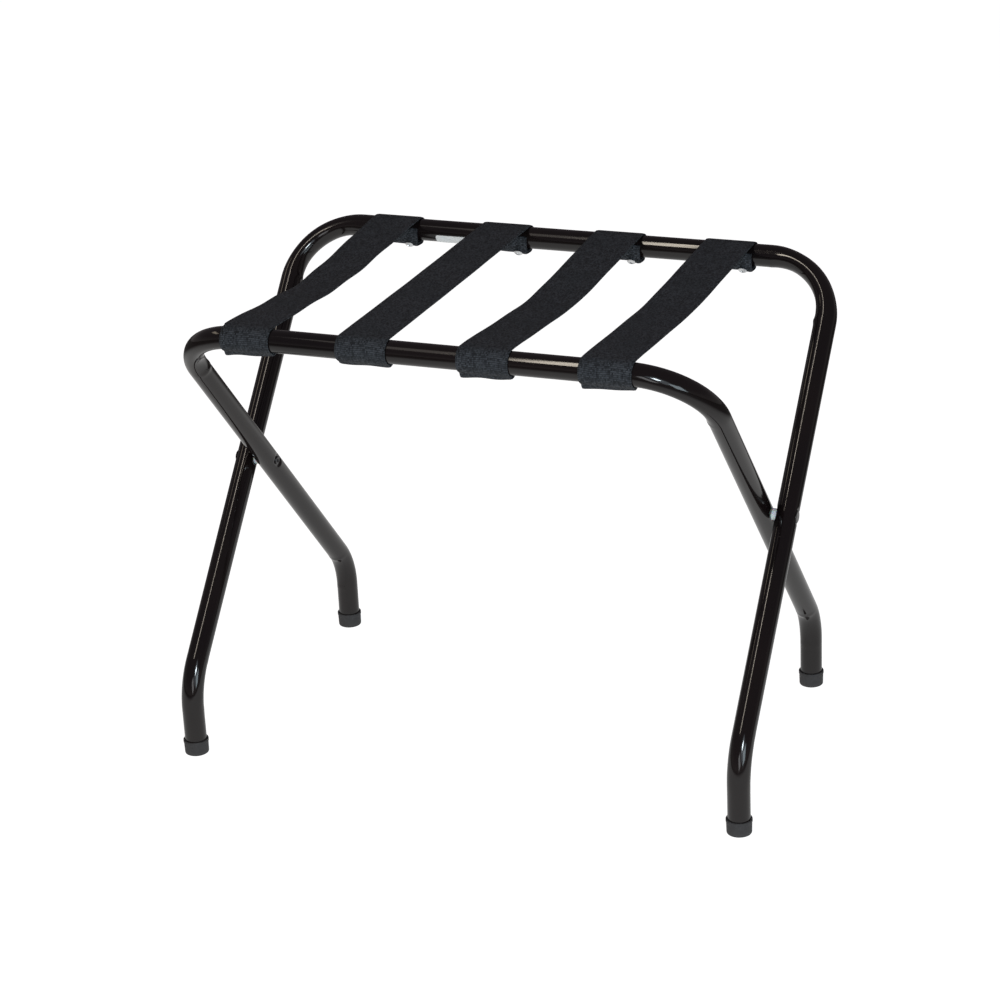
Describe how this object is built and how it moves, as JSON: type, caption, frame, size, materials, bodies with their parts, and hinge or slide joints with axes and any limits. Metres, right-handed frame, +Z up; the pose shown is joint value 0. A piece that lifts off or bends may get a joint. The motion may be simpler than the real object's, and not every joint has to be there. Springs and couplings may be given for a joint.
{
  "type": "folding luggage rack",
  "caption": "Folding luggage rack with two crossed bent-tube frames, pivot rivets, webbing straps across the rails and capped feet.",
  "frame": {"origin": "on the floor, under the middle of the open rack", "axes": "+X along the rails to the right, +Y to the back rail, +Z up"},
  "size_m": [0.6274, 0.3954, 0.4917],
  "materials": {
    "frame_enamel": "gloss black enamel",
    "foot_cap": "matte black moulded rubber",
    "rivet": "blackened steel",
    "spacer": "white nylon",
    "webbing": "black woven webbing",
    "screw": "bright zinc plate",
    "label": "blank white label film"
  },
  "bodies": {
    "outer": {"outer_frame": "frame_enamel", "outer_foot_cap_left": "foot_cap", "outer_foot_cap_right": "foot_cap", "pivot_rivet_left": "rivet", "pivot_rivet_right": "rivet", "pivot_spacer_left": "spacer", "pivot_spacer_right": "spacer", "label": "label", "strap_1_rear_wrap": "webbing", "strap_1_span": "webbing", "strap_1_rear_screw_a": "screw", "strap_1_rear_screw_b": "screw", "strap_2_rear_wrap": "webbing", "strap_2_span": "webbing", "strap_2_rear_screw_a": "screw", "strap_2_rear_screw_b": "screw", "strap_3_rear_wrap": "webbing", "strap_3_span": "webbing", "strap_3_rear_screw_a": "screw", "strap_3_rear_screw_b": "screw", "strap_4_rear_wrap": "webbing", "strap_4_span": "webbing", "strap_4_rear_screw_a": "screw", "strap_4_rear_screw_b": "screw"},
    "inner": {"inner_frame": "frame_enamel", "inner_foot_cap_left": "foot_cap", "inner_foot_cap_right": "foot_cap", "strap_1_front_wrap": "webbing", "strap_1_front_screw_a": "screw", "strap_1_front_screw_b": "screw", "strap_2_front_wrap": "webbing", "strap_2_front_screw_a": "screw", "strap_2_front_screw_b": "screw", "strap_3_front_wrap": "webbing", "strap_3_front_screw_a": "screw", "strap_3_front_screw_b": "screw", "strap_4_front_wrap": "webbing", "strap_4_front_screw_a": "screw", "strap_4_front_screw_b": "screw"}
  },
  "joints": [
    {"name": "fold", "type": "hinge", "parent": "outer", "child": "inner", "pos_m": [0, 0, 0.2702], "axis": [-1, 0, 0], "range_deg": [0, 75], "deforming": ["strap_1_span", "strap_2_span", "strap_3_span", "strap_4_span"]}
  ]
}
